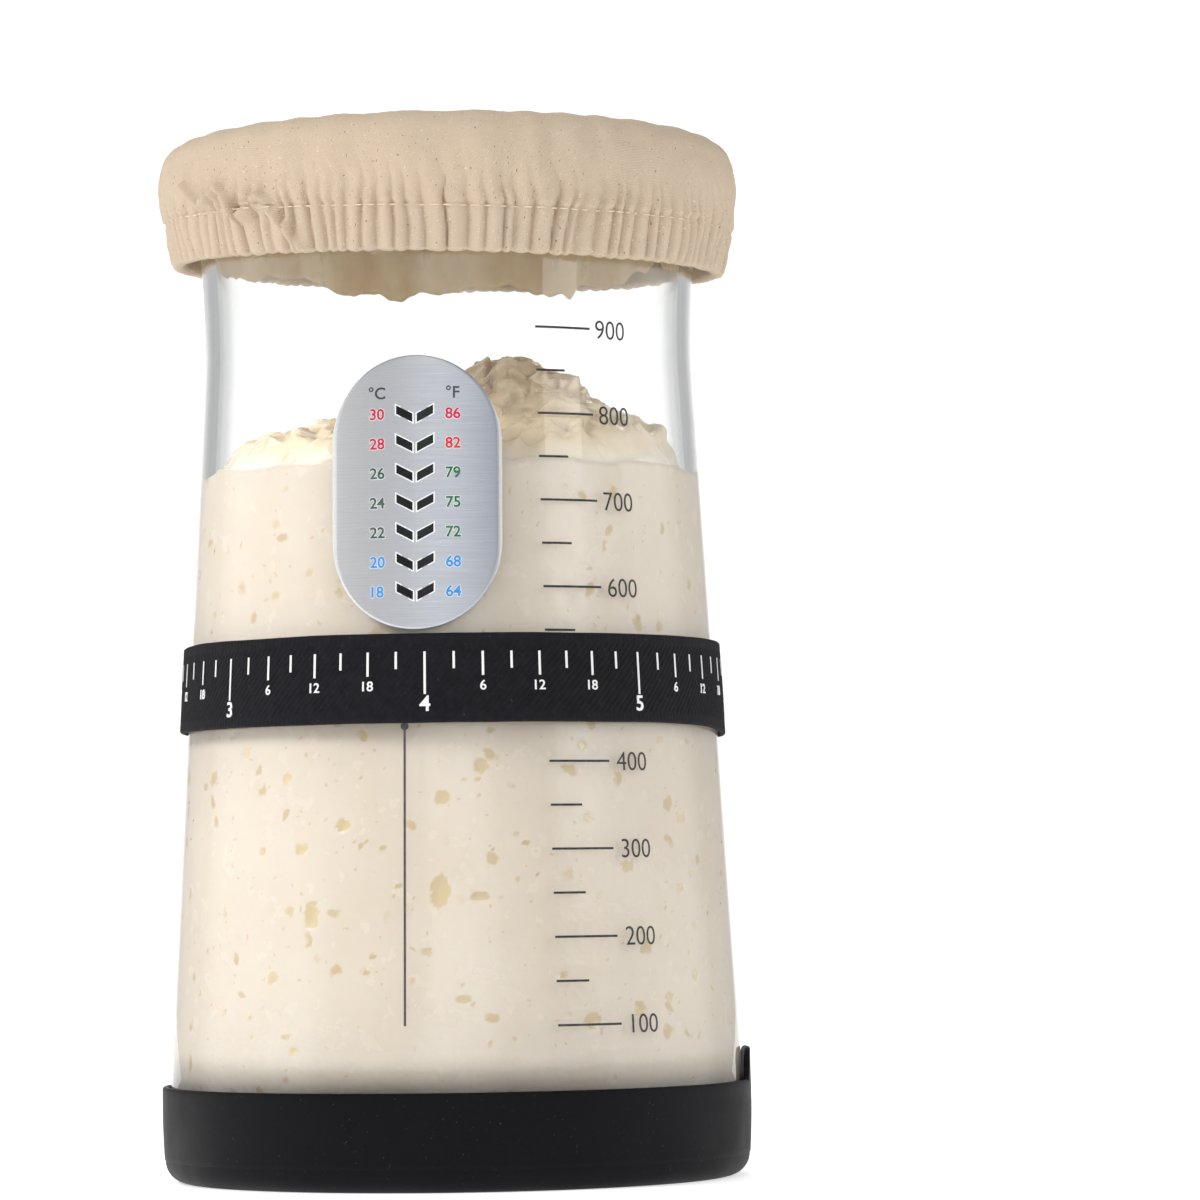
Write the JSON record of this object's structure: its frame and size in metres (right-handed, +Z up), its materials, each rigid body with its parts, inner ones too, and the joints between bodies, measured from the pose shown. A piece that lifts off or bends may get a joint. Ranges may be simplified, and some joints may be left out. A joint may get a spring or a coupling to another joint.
{
  "type": "sourdough starter jar",
  "caption": "Tapered glass jar of starter dough in a pull-off silicone base, with a stuck-on thermometer strip, a turning feeding band and an elasticated cloth cover.",
  "frame": {"origin": "centre of the silicone base's underside, where the jar stands", "axes": "+Z up along the jar's axis; -Y is the front, with the thermometer strip and the feeding line; +X is the side with the base's pull tab"},
  "size_m": [0.1074, 0.1074, 0.1884],
  "materials": {
    "silicone": "matte",
    "clear_glass": "polished",
    "dough": "satin",
    "dough_film": "satin",
    "dark_ink": "matte",
    "grey_ink": "matte",
    "adhesive": "matte",
    "strip_metal": "satin",
    "crystal_cells": "gloss",
    "webbing": "matte",
    "white_ink": "matte",
    "cotton": "matte",
    "elastic": "matte"
  },
  "bodies": {
    "base": {"base_boot": "silicone"},
    "jar": {"glass_jar": "clear_glass", "starter_dough": "dough", "dough_residue": "dough_film", "volume_scale": "dark_ink", "fed_line": "grey_ink", "thermometer_adhesive": "adhesive", "thermometer_plate": "strip_metal", "thermometer_cells": "crystal_cells"},
    "feeding_band": {"feeding_band": "webbing", "band_ticks": "white_ink"},
    "cloth_cover": {"cover_cloth": "cotton", "cover_elastic": "elastic"}
  },
  "joints": [
    {"name": "jar_lift", "type": "slide", "parent": "base", "child": "jar", "axis": [0, 0, 1], "range_m": [0, 0.04]},
    {"name": "band_turn", "type": "hinge", "parent": "jar", "child": "feeding_band", "pos_m": [0, 0, 0.089], "axis": [0, 0, 1], "continuous": true},
    {"name": "cover_lift", "type": "slide", "parent": "jar", "child": "cloth_cover", "axis": [0, 0, 1], "range_m": [0, 0.06]}
  ]
}
